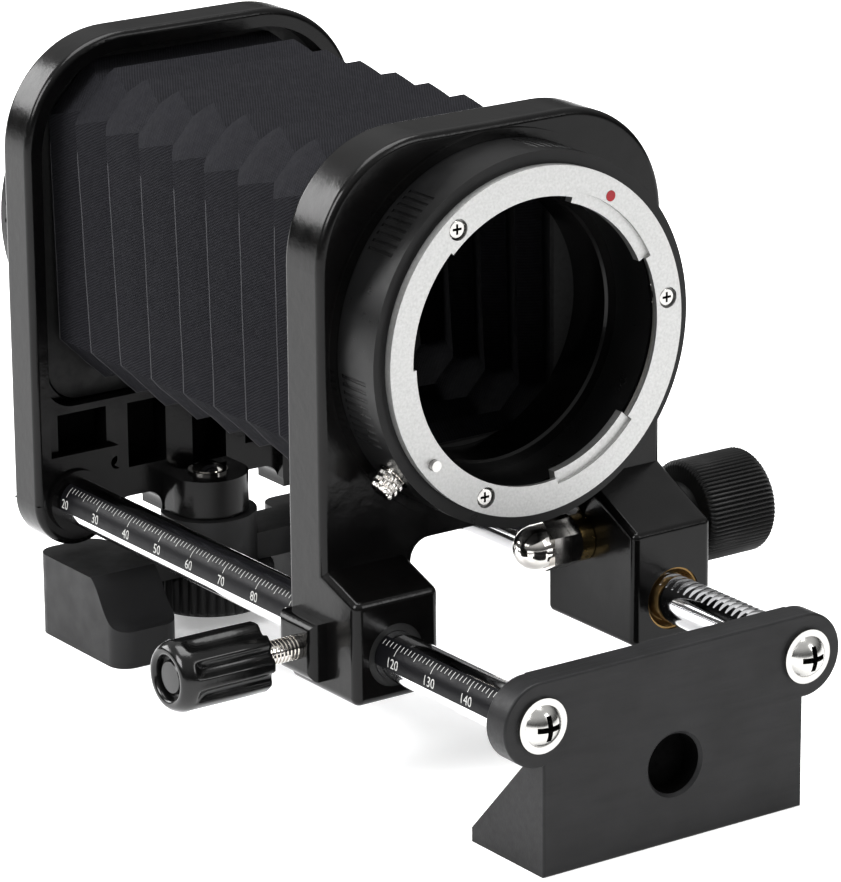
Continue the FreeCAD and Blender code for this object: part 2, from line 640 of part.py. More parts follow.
save("pinion_bush", pinion_bush.cut(cyl_y(ROD_R + 0.5, -120, -90, ROD_X, ROD_Z)))
save("lock_pad", cyl_x(1.9, -31.9, -30.3, LOCK_Y, LOCK_Z))
save("mount_ring", mount_ring())
save("spring_plate", spring_plate())
save("lens_flange", lens_flange())
save("flange_screws", flange_screws())
dot_x, dot_z = polar(26.1, 56.8)
save("index_dot", cyl_y(0.9, RING_FACE - 0.05, RING_FACE + 0.48, dot_x, dot_z))
save("release_spring", release_spring())
save("pinion_shaft", pinion_shaft())
save("drive_knob", drive_knob())
save("knob_grub_screw", knob_grub_screw())
brass_collar = cyl_x(3.9, 15.35, 17.85, PINION_Y, PINION_Z).cut(cyl_x(2.52, 10, 20, PINION_Y, PINION_Z))
save("brass_collar", brass_collar)
save("hex_nut", hex_nut())
save("acorn_nut", acorn_nut())
save("lock_knob", lock_knob())
save("lock_screw", lock_screw())
save("release_button", release_button())
pin_x, pin_z = polar(26.5, -141.2)
save("lock_pin", cyl_y(0.9, RING_FACE - 0.9, -115.0, pin_x, pin_z))
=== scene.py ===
import math
import random

import bmesh
import bpy
from mathutils import Matrix, Vector


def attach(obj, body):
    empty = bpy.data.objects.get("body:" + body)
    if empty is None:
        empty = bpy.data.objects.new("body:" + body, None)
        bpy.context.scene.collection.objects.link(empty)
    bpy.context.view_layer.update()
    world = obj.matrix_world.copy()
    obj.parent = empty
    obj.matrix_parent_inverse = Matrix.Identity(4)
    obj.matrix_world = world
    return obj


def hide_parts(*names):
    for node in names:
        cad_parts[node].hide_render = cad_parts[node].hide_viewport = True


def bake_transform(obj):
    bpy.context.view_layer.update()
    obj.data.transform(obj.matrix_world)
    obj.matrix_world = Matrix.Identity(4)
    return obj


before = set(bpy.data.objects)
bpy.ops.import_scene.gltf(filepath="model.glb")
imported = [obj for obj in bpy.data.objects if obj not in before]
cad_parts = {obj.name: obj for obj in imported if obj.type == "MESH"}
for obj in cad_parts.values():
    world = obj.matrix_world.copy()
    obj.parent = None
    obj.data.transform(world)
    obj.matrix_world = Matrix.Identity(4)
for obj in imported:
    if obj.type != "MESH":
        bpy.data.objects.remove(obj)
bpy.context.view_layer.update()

# Lengths below are in millimetres in the design frame: X 0 on the optical axis, Y the ruler's
# reading turned negative, Z 0 on the table. at() turns them into the shared frame, in metres.
MM = 0.001
OFFSET = Vector((4.45, 76.5, 0.0))
AXIS_Z = 73.76
ROD_X = 26.2
ROD_Z = 25.6
ROD_R = 4.0
PINION_Y = -106.0
PINION_Z = 34.1
LOCK_Y = -102.4
LOCK_Z = 25.4
HUB_Y = -19.3

rng = random.Random(7)


def at(x, y, z):
    return (Vector((x, y, z)) + OFFSET) * MM


def ramp(value, low, high):
    t = max(0.0, min(1.0, (value - low) / (high - low)))
    return t * t * (3 - 2 * t)


# ---------------------------------------------------------------- materials


class Mat:
    def __init__(self, name, color, rough, metal=0.0):
        self.mat = bpy.data.materials.new(name)
        self.mat.use_nodes = True
        self.tree = self.mat.node_tree
        self.bsdf = self.tree.nodes["Principled BSDF"]
        self.bsdf.inputs["Base Color"].default_value = (*color, 1)
        self.bsdf.inputs["Roughness"].default_value = rough
        self.bsdf.inputs["Metallic"].default_value = metal
        self.coord = self.tree.nodes.new("ShaderNodeTexCoord")
        self.height = None

    def node(self, kind, **values):
        made = self.tree.nodes.new(kind)
        for key, value in values.items():
            setattr(made, key, value)
        return made

    def link(self, a, b):
        self.tree.links.new(a, b)

    def mapped(self, scale=(1, 1, 1)):
        mapping = self.node("ShaderNodeMapping")
        mapping.inputs["Scale"].default_value = scale
        self.link(self.coord.outputs["Object"], mapping.inputs["Vector"])
        return mapping.outputs["Vector"]

    def noise(self, scale, detail=3.0, stretch=(1, 1, 1), rough=0.55):
        tex = self.node("ShaderNodeTexNoise")
        tex.inputs["Scale"].default_value = scale
        tex.inputs["Detail"].default_value = detail
        tex.inputs["Roughness"].default_value = rough
        self.link(self.mapped(stretch), tex.inputs["Vector"])
        return tex.outputs["Fac"]

    def remap(self, value, low, high, from_low=0.3, from_high=0.7):
        node = self.node("ShaderNodeMapRange")
        node.inputs["From Min"].default_value = from_low
        node.inputs["From Max"].default_value = from_high
        node.inputs["To Min"].default_value = low
        node.inputs["To Max"].default_value = high
        self.link(value, node.inputs["Value"])
        return node.outputs["Result"]

    def math(self, operation, a, b):
        node = self.node("ShaderNodeMath", operation=operation)
        for socket, value in zip(node.inputs, (a, b)):
            if isinstance(value, (int, float)):
                socket.default_value = value
            else:
                self.link(value, socket)
        return node.outputs["Value"]

    def rough_from(self, value, low, high):
        self.link(self.remap(value, low, high), self.bsdf.inputs["Roughness"])

    def color_from(self, value, dark, light, from_low=0.3, from_high=0.7):
        mix = self.node("ShaderNodeMix", data_type="RGBA")
        mix.inputs[6].default_value = (*dark, 1)
        mix.inputs[7].default_value = (*light, 1)
        self.link(self.remap(value, 0.0, 1.0, from_low, from_high), mix.inputs[0])
        self.link(mix.outputs[2], self.bsdf.inputs["Base Color"])

    def bump(self, value, strength, distance):
        node = self.node("ShaderNodeBump")
        node.inputs["Strength"].default_value = strength
        node.inputs["Distance"].default_value = distance
        self.link(value, node.inputs["Height"])
        if self.height is not None:
            self.link(self.height, node.inputs["Normal"])
        self.height = node.outputs["Normal"]
        self.link(self.height, self.bsdf.inputs["Normal"])

    def set(self, socket, value):
        self.bsdf.inputs[socket].default_value = value


def enamel():
    m = Mat("black_enamel", (0.002, 0.002, 0.002), 0.2)
    m.set("IOR", 1.3)
    m.rough_from(m.noise(160, 4), 0.14, 0.26)
    m.color_from(m.noise(90, 3), (0.0012, 0.0012, 0.0013), (0.003, 0.0028, 0.0027))
    m.bump(m.noise(420, 2), 0.12, 0.0003)
    m.bump(m.noise(2600, 2), 0.1, 0.00008)
    return m.mat


def anodised(name, level, low, high):
    m = Mat(name, (level, level, level * 1.04), 0.4)
    m.set("IOR", 1.3)
    m.rough_from(m.noise(240, 4), low, high)
    m.color_from(m.noise(60, 4), (level * 0.85,) * 3, (level * 1.2, level * 1.2, level * 1.25))
    m.bump(m.noise(5200, 3), 0.3, 0.00006)
    return m.mat


def brushed_black():
    m = Mat("black_anodised_plate", (0.014, 0.014, 0.015), 0.42)
    m.set("IOR", 1.3)
    m.rough_from(m.noise(900, 3, (0.12, 1, 1)), 0.36, 0.5)
    m.color_from(m.noise(120, 4), (0.008, 0.008, 0.0084), (0.013, 0.013, 0.0138))
    m.bump(m.noise(2400, 3, (0.06, 1, 1)), 0.22, 0.00008)
    m.bump(m.noise(5200, 2), 0.16, 0.00005)
    return m.mat


def polished(name, color, low, high, stretch=(1, 1, 1)):
    m = Mat(name, color, low, 1.0)
    m.rough_from(m.noise(500, 4, stretch), low, high)
    m.color_from(m.noise(140, 3), tuple(c * 0.93 for c in color), color)
    m.bump(m.noise(1800, 2, stretch), 0.05, 0.00006)
    return m.mat


def satin_ring():
    m = Mat("satin_chrome", (0.42, 0.42, 0.415), 0.44, 1.0)
    m.rough_from(m.noise(2600, 3), 0.42, 0.52)
    m.color_from(m.noise(2200, 3), (0.39, 0.39, 0.385), (0.46, 0.46, 0.455))
    m.bump(m.noise(6500, 2), 0.08, 0.00004)
    return m.mat


def moulded(name, color, low, high, ior=1.35):
    m = Mat(name, color, low)
    m.set("IOR", ior)
    m.rough_from(m.noise(300, 4), low, high)
    m.color_from(m.noise(110, 3), tuple(c * 0.8 for c in color), tuple(c * 1.25 for c in color))
    m.bump(m.noise(1500, 3), 0.12, 0.0001)
    return m.mat


def cloth():
    m = Mat("black_cloth", (0.008, 0.008, 0.01), 0.85)
    m.set("IOR", 1.2)
    split = m.node("ShaderNodeSeparateXYZ")
    m.link(m.coord.outputs["Object"], split.inputs["Vector"])
    across = m.math("ADD", split.outputs["X"], split.outputs["Z"])
    pitch = 2 * math.pi / 0.00052
    warp = m.math("SINE", m.math("MULTIPLY", split.outputs["Y"], pitch), 0)
    weft = m.math("SINE", m.math("MULTIPLY", across, pitch), 0)
    weave = m.math("MULTIPLY", warp, weft)
    slub = m.noise(1500, 4)
    mixed = m.math("ADD", weave, m.math("MULTIPLY", slub, 1.2))
    m.color_from(mixed, (0.0045, 0.0045, 0.0055), (0.022, 0.022, 0.026), -0.4, 1.9)
    m.rough_from(m.noise(700, 3), 0.78, 0.95)
    m.bump(mixed, 0.55, 0.00012)
    m.bump(m.noise(90, 3), 0.35, 0.0012)
    return m.mat


def flat_matte(name, color, rough, grain, ior=1.5):
    m = Mat(name, color, rough)
    m.set("IOR", ior)
    m.rough_from(m.noise(800, 3), rough * 0.85, min(1.0, rough * 1.15))
    m.color_from(m.noise(300, 3), tuple(c * 0.85 for c in color), color)
    m.bump(m.noise(4000, 2), grain, 0.00005)
    return m.mat


ENAMEL = enamel()
ANODISED = anodised("black_anodised", 0.004, 0.26, 0.4)
FOOT_BLACK = anodised("black_anodised_foot", 0.011, 0.4, 0.55)
PLATE = brushed_black()
CHROME = polished("chrome", (0.86, 0.86, 0.87), 0.05, 0.14, (1, 0.08, 1))
NICKEL = polished("nickel", (0.72, 0.7, 0.67), 0.06, 0.16)
STEEL = polished("steel_pin", (0.8, 0.8, 0.8), 0.12, 0.26)
RING = satin_ring()
BRASS = polished("brass", (0.8, 0.58, 0.24), 0.14, 0.3)
GLOSS_PLASTIC = moulded("black_plastic_gloss", (0.003, 0.003, 0.003), 0.12, 0.24, 1.42)
KNOB_BLACK = moulded("black_knob", (0.009, 0.009, 0.009), 0.34, 0.5)
CLOTH = cloth()
MATTE = flat_matte("matte_black", (0.005, 0.005, 0.005), 0.6, 0.3)
STRIP = flat_matte("scale_black", (0.004, 0.004, 0.005), 0.4, 0.15, 1.22)
# lighter cloth for the ridge cords: painted highlight along the bellows ridges, partly worn cloth
CLOTH_RIDGE_HIGHLIGHT = flat_matte("black_cloth_ridge_highlight", (0.032, 0.032, 0.036), 0.8, 0.3)
# near-black for sheets and plugs set into pockets, screw slots and the accessory hole: painted shade
PAINTED_SHADE = flat_matte("painted_shade_black", (0.0008, 0.0008, 0.0008), 0.9, 0.1, 1.15)
SCREW = polished("screw_steel", (0.46, 0.455, 0.44), 0.14, 0.26)
BUSH = polished("bush_bronze", (0.17, 0.11, 0.045), 0.24, 0.4)
MARKS = flat_matte("scale_white", (0.36, 0.36, 0.35), 0.6, 0.1)
RED = moulded("red_enamel", (0.27, 0.004, 0.01), 0.1, 0.2, 1.4)


# ---------------------------------------------------------------- mesh helpers


def piece(name, verts, faces, material, body, smooth=40.0, replaced=()):
    mesh = bpy.data.meshes.new(name)
    mesh.from_pydata([tuple(v) for v in verts], [], faces)
    mesh.materials.append(material)
    bm = bmesh.new()
    bm.from_mesh(mesh)
    bmesh.ops.recalc_face_normals(bm, faces=bm.faces)
    for face in bm.faces:
        face.smooth = True
    limit = math.radians(smooth)
    for edge in bm.edges:
        edge.smooth = edge.is_manifold and edge.calc_face_angle(0.0) < limit
    bm.to_mesh(mesh)
    bm.free()
    obj = bpy.data.objects.new(name, mesh)
    bpy.context.collection.objects.link(obj)
    if body:
        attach(obj, body)
    if replaced:
        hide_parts(*replaced)
    return obj


def grid_faces(rows, cols, close_rows=False, close_cols=True, base=0):
    faces = []
    for i in range(rows if close_rows else rows - 1):
        for j in range(cols if close_cols else cols - 1):
            a = base + i * cols + j
            b = base + i * cols + (j + 1) % cols
            c = base + ((i + 1) % rows) * cols + (j + 1) % cols
            d = base + ((i + 1) % rows) * cols + j
            faces.append((a, b, c, d))
    return faces


def swept(name, sections, material, body, smooth=40.0, replaced=()):
    """A closed solid from rings of points; the first and last rings are capped."""
    cols = len(sections[0])
    verts = [p for ring in sections for p in ring]
    faces = grid_faces(len(sections), cols)
    faces.append(tuple(range(cols)))
    faces.append(tuple((len(sections) - 1) * cols + j for j in range(cols)))
    return piece(name, verts, faces, material, body, smooth, replaced)


def ring_x(x, y, z, radius, count, shape=None):
    points = []
    for j in range(count):
        a = 2 * math.pi * j / count
        r = radius if shape is None else shape(a, radius)
        points.append(at(x, y + r * math.cos(a), z + r * math.sin(a)))
    return points


def ring_y(y, x, z, radius, count):
    angles = [2 * math.pi * j / count for j in range(count)]
    return [at(x + radius * math.cos(a), y, z + radius * math.sin(a)) for a in angles]


def ring_z(z, x, y, radius, count, shape=None):
    points = []
    for j in range(count):
        a = 2 * math.pi * j / count
        r = radius if shape is None else shape(a, radius)
        points.append(at(x + r * math.cos(a), y + r * math.sin(a), z))
    return points


def paint(name, material):
    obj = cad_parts[name]
    obj.data.materials.clear()
    obj.data.materials.append(material)


for node, material in {
    "rear_frame": ENAMEL,
    "front_frame": ENAMEL,
    "rear_mount_ring": ANODISED,
    "mount_ring": ANODISED,
    "front_bracket": PLATE,
    "rear_foot": FOOT_BLACK,
    "hub_disc": FOOT_BLACK,
    "rear_bellows_frame": MATTE,
    "front_bellows_frame": MATTE,
    "rear_bayonet": RING,
    "lens_flange": RING,
    "rear_mount_screws": NICKEL,
    "flange_screws": SCREW,
    "scale_rod": CHROME,
    "rack_rod": CHROME,
    "scale_strip": STRIP,
    "bracket_screws": SCREW,
    "pivot_bolt": NICKEL,
    "guide_bushes": MATTE,
    "rack_bushes": BUSH,
    "pinion_bush": BRASS,
    "lock_pad": BRASS,
    "spring_plate": NICKEL,
    "index_dot": RED,
    "release_spring": STEEL,
    "pinion_shaft": NICKEL,
    "knob_grub_screw": STEEL,
    "brass_collar": BRASS,
    "hex_nut": NICKEL,
    "acorn_nut": NICKEL,
    "lock_screw": NICKEL,
    "lock_pin": SCREW,
}.items():
    paint(node, material)


# ---------------------------------------------------------------- bellows

BELLOWS_Z = 74.4
FOLDS = [-14.0, -23.6, -33.4, -43.6, -53.9, -63.4, -73.3, -83.5, -93.2]
BELLOWS_BACK = -12.5
BELLOWS_FRONT = -96.3
WALL = 0.55
RIDGE_HALF_W = 27.0
RIDGE_HALF_H = 28.4
OUTLINE_MAX_H = 28.6
VALLEY_HALF_W = 24.3
VALLEY_HALF_H = 25.6
VALLEY_SHIFT = 1.6
PLEAT_PUFF = 0.12
PLEAT_STEPS = 4
EDGE_RADIUS = 0.15
EDGE_SINK = 0.08
TOP_SINK = 0.25
SIDE_STEPS = 14
CORNER_STEPS = 5


def bellows_outline(half_w, half_h, corner, inset):
    """Points round an eight-sided section, as (x, z, 1 on a corner side, share along the side)."""
    w = half_w - inset
    h = half_h - inset
    c = max(0.4, corner - 0.3 * inset)
    corners = [
        (-w, -h + c), (-w, h - c), (-w + c, h), (w - c, h),
        (w, h - c), (w, -h + c), (w - c, -h), (-w + c, -h),
    ]
    points = []
    for i, start in enumerate(corners):
        end = corners[(i + 1) % 8]
        steps = SIDE_STEPS if i % 2 == 0 else CORNER_STEPS
        for k in range(steps):
            t = k / steps
            x = start[0] + (end[0] - start[0]) * t
            z = start[1] + (end[1] - start[1]) * t
            points.append((x, z, i % 2, t))
    return points


def fold_sections():
    """(y, half width, half height, corner, lean, kind) of each ridge and valley, back to front."""
    rows = [(BELLOWS_BACK, 25.6, 27.2, 8.0, 0.0, "end")]
    for i, ridge in enumerate(FOLDS):
        lean = 2.4 * (1 - i / (len(FOLDS) - 1)) + 0.2
        if i == 0:
            lean = 1.0
        rows.append((ridge, RIDGE_HALF_W, RIDGE_HALF_H, 8.6, lean, "ridge"))
        if i < len(FOLDS) - 1:
            middle = (ridge + FOLDS[i + 1]) / 2
            rows.append((middle - VALLEY_SHIFT, VALLEY_HALF_W, VALLEY_HALF_H, 4.2, lean - 0.1, "valley"))
    rows.append((BELLOWS_FRONT, 24.4, 25.8, 6.0, 0.0, "end"))
    return rows


def bellows_ring(row, inset, wobble):
    y, half_w, half_h, corner, lean, kind = row
    points = []
    for index, (x, z, is_corner, t) in enumerate(bellows_outline(half_w, half_h, corner, inset)):
        share = -z / half_h
        low = ramp(share, 0.45, 0.95) * ramp(abs(x), 8, 24)
        rough = wobble[index % len(wobble)]
        dy = -lean * share + (rough * (0.08 + 0.22 * low) if kind != "end" else 0.0)
        bow = 0.0
        if kind == "valley" and not is_corner:
            bow = 0.35 * math.sin(math.pi * t)
        fray = rough * 0.0015 * (1 + 2.5 * low) if kind != "end" else 0.0
        scale = 1 - bow / max(half_w, 1) + fray
        limit_z = OUTLINE_MAX_H / max(abs(z * scale), 1e-6)
        limit_x = RIDGE_HALF_W / max(abs(x * scale), 1e-6)
        limit = min(1.0, limit_z, limit_x)
        points.append((x * scale * limit, y + dy, z * scale * limit))
    return points


def between(ring_a, ring_b, t, puff):
    out = []
    for a, b in zip(ring_a, ring_b):
        x = a[0] + (b[0] - a[0]) * t
        y = a[1] + (b[1] - a[1]) * t
        z = a[2] + (b[2] - a[2]) * t
        k = 1 + puff * math.sin(math.pi * t) / RIDGE_HALF_W
        out.append((x * k, y, z * k))
    return out


def ridge_edge(name, ridge):
    """A thin lighter cord along one ridge: a painted highlight where the ridge catches light, together with
    worn cloth.
    """
    sides = 6
    rings = []
    for x, y, z in ridge:
        size = math.hypot(x, z)
        ring = []
        for j in range(sides):
            a = 2 * math.pi * j / sides
            sink = EDGE_SINK + TOP_SINK * ramp(z, 12.0, 22.0)
            k = 1 + (EDGE_RADIUS * math.cos(a) - sink) / size
            ring.append(at(x * k, y + EDGE_RADIUS * math.sin(a), z * k + BELLOWS_Z))
        rings.append(ring)
    verts = [p for ring in rings for p in ring]
    return piece(name, verts, grid_faces(len(rings), sides, close_rows=True), CLOTH_RIDGE_HIGHLIGHT, None, 80.0)


def make_bellows():
    rows = fold_sections()
    wobbles = []
    count = 4 * (SIDE_STEPS + CORNER_STEPS)
    for _ in rows:
        raw = [rng.uniform(-1, 1) for _ in range(count)]
        wobbles.append([(raw[k - 1] + raw[k] + raw[(k + 1) % count]) / 2 for k in range(count)])
    outer = [bellows_ring(row, 0.0, w) for row, w in zip(rows, wobbles)]
    inner = [bellows_ring(row, WALL, w) for row, w in zip(rows, wobbles)]
    # one piece per pleat, from valley to valley
    cuts = [0] + [k for k, row in enumerate(rows) if row[5] == "valley"] + [len(rows) - 1]
    pieces = len(cuts) - 1
    for n in range(pieces):
        loops_out = []
        loops_in = []
        for k in range(cuts[n], cuts[n + 1]):
            for step in range(PLEAT_STEPS):
                t = step / PLEAT_STEPS
                loops_out.append(between(outer[k], outer[k + 1], t, PLEAT_PUFF))
                loops_in.append(between(inner[k], inner[k + 1], t, PLEAT_PUFF))
        loops_out.append(outer[cuts[n + 1]])
        loops_in.append(inner[cuts[n + 1]])
        rings = loops_out + loops_in[::-1]
        verts = [at(p[0], p[1], p[2] + BELLOWS_Z) for ring in rings for p in ring]
        faces = grid_faces(len(rings), count, close_rows=True)
        obj = piece("bellows_pleat_%d" % (n + 1), verts, faces, CLOTH, None, 28.0)
        ridge = outer[next(k for k in range(cuts[n], cuts[n + 1]) if rows[k][5] == "ridge")]
        # lighter cord on the ridge: painted highlight, partly worn cloth
        edge = ridge_edge("bellows_ridge_highlight_%d" % (n + 1), ridge)
        for part in (obj, edge):
            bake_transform(part)
            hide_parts("bellows")


make_bellows()


# ---------------------------------------------------------------- ruler marks on the left rod


TICK_LINE = 0.99
TICK_HALF_WIDTH = 0.07
TICK_SHORT = 1.0
TICK_FIVE = 1.45
TICK_TEN = 2.05
RULER_FIRST = 20
RULER_LAST = 148
NUMBER_SIZE = 2.35
NUMBER_WIDTH = 0.92
NUMBER_BASELINE = 4.15
NUMBER_DEPTH = 0.02
CUT_PITCH = 0.2


def wrap(along, around, lift):
    """A point on the left rod.

    along is the ruler's reading, around the arc length down from the tick line.
    """
    a = TICK_LINE - around / ROD_R
    r = ROD_R + lift
    return at(-ROD_X - r * math.cos(a), -along, ROD_Z + r * math.sin(a))


def patch(verts, faces, along0, along1, around0, around1, steps):
    base = len(verts)
    for lift in (-0.02, 0.025):
        for k in range(steps + 1):
            around = around0 + (around1 - around0) * k / steps
            verts.append(wrap(along0, around, lift))
            verts.append(wrap(along1, around, lift))
    top = base + 2 * (steps + 1)
    for k in range(steps):
        a = base + 2 * k
        b = top + 2 * k
        faces.append((a, a + 1, a + 3, a + 2))
        faces.append((b, b + 2, b + 3, b + 1))
        faces.append((a, a + 2, b + 2, b))
        faces.append((a + 1, b + 1, b + 3, a + 3))
    faces.append((base, top, top + 1, base + 1))
    last = 2 * steps
    faces.append((base + last, base + last + 1, top + last + 1, top + last))


def make_ticks():
    verts = []
    faces = []
    for reading in range(RULER_FIRST, RULER_LAST + 1):
        length = TICK_SHORT
        if reading % 5 == 0:
            length = TICK_FIVE
        if reading % 10 == 0:
            length = TICK_TEN
        patch(verts, faces, reading - TICK_HALF_WIDTH, reading + TICK_HALF_WIDTH, 0.0, length, 4)
    piece("scale_ticks", verts, faces, MARKS, "base", 60.0)


def make_numbers():
    verts = []
    faces = []
    for reading in range(RULER_FIRST, RULER_LAST, 10):
        curve = bpy.data.curves.new("number", "FONT")
        curve.body = str(reading)
        curve.align_x = "CENTER"
        curve.size = NUMBER_SIZE
        curve.resolution_u = 3
        curve.extrude = NUMBER_DEPTH
        temp = bpy.data.objects.new("number", curve)
        bpy.context.collection.objects.link(temp)
        bpy.context.view_layer.update()
        graph = bpy.context.evaluated_depsgraph_get()
        mesh = bpy.data.meshes.new_from_object(temp.evaluated_get(graph))
        glyphs = bmesh.new()
        glyphs.from_mesh(mesh)
        # level cuts, so that tall strokes bend round the rod
        for level in range(1, 9):
            geometry = glyphs.verts[:] + glyphs.edges[:] + glyphs.faces[:]
            bmesh.ops.bisect_plane(
                glyphs, geom=geometry, plane_co=(0, level * CUT_PITCH, 0), plane_no=(0, 1, 0)
            )
        glyphs.verts.ensure_lookup_table()
        glyphs.verts.index_update()
        base = len(verts)
        for v in glyphs.verts:
            along = reading + v.co.x * NUMBER_WIDTH
            verts.append(wrap(along, NUMBER_BASELINE - v.co.y, 0.005 + v.co.z))
        for face in glyphs.faces:
            faces.append(tuple(base + v.index for v in face.verts))
        glyphs.free()
        bpy.data.objects.remove(temp)
        bpy.data.curves.remove(curve)
        bpy.data.meshes.remove(mesh)
    piece("scale_numbers", verts, faces, MARKS, "base", 60.0)


make_ticks()
make_numbers()


# ---------------------------------------------------------------- knobs, wheel and button


def ribs(count, depth, sharp=0.8):
    def shape(angle, radius):
        wave = 0.5 - 0.5 * math.cos(count * angle)
        return radius - depth * (1 - wave ** sharp)
    return shape


DRIVE_RIBS = 72
LOCK_FLUTES = 8
WHEEL_RIBS = 40
BUTTON_TEETH = 16
BUTTON_Y = -112.0
BUTTON_DEGREES = -141.0


def make_drive_knob():
    count = DRIVE_RIBS * 8
    full = ribs(DRIVE_RIBS, 0.5)
    half = ribs(DRIVE_RIBS, 0.25)
    profile = [
        (34.9, 3.3, None), (34.9, 5.0, None), (35.2, 5.4, None), (38.6, 5.4, None), (38.8, 5.7, None),
        (38.8, 7.9, None), (38.95, 8.3, half), (39.5, 8.9, full), (45.0, 8.9, full), (51.7, 8.9, full),
        (52.3, 8.5, half), (52.5, 8.1, None), (52.5, 6.6, None), (52.2, 6.3, None), (52.1, 3.0, None),
    ]
    rings = [ring_x(x, PINION_Y, PINION_Z, r, count, shape) for x, r, shape in profile]
    swept("drive_knob_grip", rings, KNOB_BLACK, "drive", 35.0, ("drive_knob",))


def flutes(amount):
    def shape(angle, radius):
        u = (angle * LOCK_FLUTES / (2 * math.pi)) % 1.0 - 0.5
        k = max(0.0, 1 - (u / 0.3) ** 2)
        soft = k ** 0.75 if k > 0 else 0.0
        return radius - amount * soft
    return shape


def make_lock_knob():
    count = LOCK_FLUTES * 24
    profile = [
        (-44.2, 2.2, 0), (-44.2, 3.3, 0), (-44.2, 5.3, 0.75), (-44.45, 5.75, 0.95), (-44.9, 5.95, 1.02),
        (-50.0, 6.0, 1.05), (-54.0, 6.0, 1.05), (-56.6, 6.0, 1.02), (-57.6, 6.0, 0.86),
        (-58.4, 6.0, 0.52), (-58.9, 5.98, 0.18), (-59.3, 5.93, 0.0), (-60.1, 5.72, 0),
        (-60.8, 5.35, 0), (-61.25, 4.95, 0),
        (-61.4, 4.6, 0), (-61.4, 4.1, 0), (-61.2, 3.8, 0), (-60.9, 3.65, 0), (-59.9, 3.55, 0),
        (-59.8, 2.9, 0), (-60.5, 2.72, 0), (-60.65, 2.55, 0), (-60.7, 1.0, 0),
    ]
    rings = [ring_x(x, LOCK_Y, LOCK_Z, r, count, flutes(amount)) for x, r, amount in profile]
    swept("lock_knob_grip", rings, GLOSS_PLASTIC, "lock", 38.0, ("lock_knob",))


def make_clamp_wheel():
    count = WHEEL_RIBS * 10
    full = ribs(WHEEL_RIBS, 0.6, 0.55)
    edge = ribs(WHEEL_RIBS, 0.3)
    profile = [
        (6.6, 3.3, None), (2.9, 3.3, None), (2.6, 3.6, None), (2.6, 8.2, None), (2.5, 8.6, None),
        (2.5, 10.6, None), (2.75, 11.0, edge), (3.3, 11.5, full), (8.8, 11.5, full),
        (9.4, 11.0, edge), (9.6, 10.6, None), (9.6, 2.3, None),
    ]
    rings = [ring_z(z, 0.0, HUB_Y, r, count, shape) for z, r, shape in profile]
    swept("clamp_wheel_grip", rings, FOOT_BLACK, "wheel", 35.0, ("clamp_wheel",))


def make_release_button():
    angle = math.radians(BUTTON_DEGREES)
    out = Vector((math.cos(angle), 0, math.sin(angle)))
    side = Vector((0, 1, 0))
    up = out.cross(side)
    origin = Vector((0, BUTTON_Y, AXIS_Z))
    count = 96
    teeth = ribs(BUTTON_TEETH, 0.3, 0.7)
    profile = [
        (26.4, 0.98, None), (30.1, 0.98, None), (30.2, 1.6, None), (30.2, 2.3, None), (30.35, 2.45, None),
        (30.9, 2.45, None), (31.05, 2.05, None), (31.35, 2.05, None), (31.5, 2.42, teeth),
        (32.05, 2.42, teeth),
        (32.2, 1.95, None), (32.5, 1.95, None), (32.65, 2.3, teeth), (33.2, 2.3, teeth), (33.35, 1.8, None),
        (33.6, 1.8, None), (33.75, 2.1, teeth), (34.15, 2.05, teeth), (34.35, 1.7, None), (34.4, 1.2, None),
    ]
    rings = []
    for distance, radius, shape in profile:
        ring = []
        for j in range(count):
            a = 2 * math.pi * j / count
            r = radius if shape is None else shape(a, radius)
            p = origin + out * distance + side * (r * math.cos(a)) + up * (r * math.sin(a))
            ring.append(at(p.x, p.y, p.z))
        rings.append(ring)
    swept("release_button_cap", rings, NICKEL, "release", 35.0, ("release_button",))


make_drive_knob()
make_lock_knob()
make_clamp_wheel()
make_release_button()


# ---------------------------------------------------------------- painted shade in the pockets, screw slots and accessory hole


POCKETS = [
    (-28.5, -18.6, 33.0, 41.0),
    (-14.2, -6.3, 28.8, 40.7),
    (-0.8, 6.3, 27.0, 40.0),
    (10.4, 19.0, 28.6, 40.0),
    (22.5, 28.5, 34.6, 40.4),
]
POCKET_FRONT = -11.6
POCKET_FLOOR = -10.2
CROSS_FRONT = -155.9
CROSS_BACK = -155.4
CROSS_LENGTH = 2.0
CROSS_WIDTH = 0.42
RING_SCREW_R = 26.2
RING_SCREW_DEGREES = (126.5, 6.5, -113.5)
RING_CROSS_FRONT = -117.85
RING_CROSS_BACK = -117.7
RING_CROSS_LENGTH = 0.8
RING_CROSS_WIDTH = 0.18
HOLE_Z = 13.1


def boxes(name, spans, material, body):
    verts = []
    faces = []
    for x0, x1, y0, y1, z0, z1 in spans:
        base = len(verts)
        for x in (x0, x1):
            for y in (y0, y1):
                for z in (z0, z1):
                    verts.append(at(x, y, z))
        sides = ((0, 1, 3, 2), (4, 6, 7, 5), (0, 4, 5, 1), (2, 3, 7, 6), (0, 2, 6, 4), (1, 5, 7, 3))
        faces.extend(tuple(base + k for k in side) for side in sides)
    return piece(name, verts, faces, material, body)


def cross(x, z, front, back, length, width):
    """Two crossed boxes: the slots of a cross-head screw."""
    return [
        (x - length, x + length, front, back, z - width, z + width),
        (x - width, x + width, front, back, z - length, z + length),
    ]


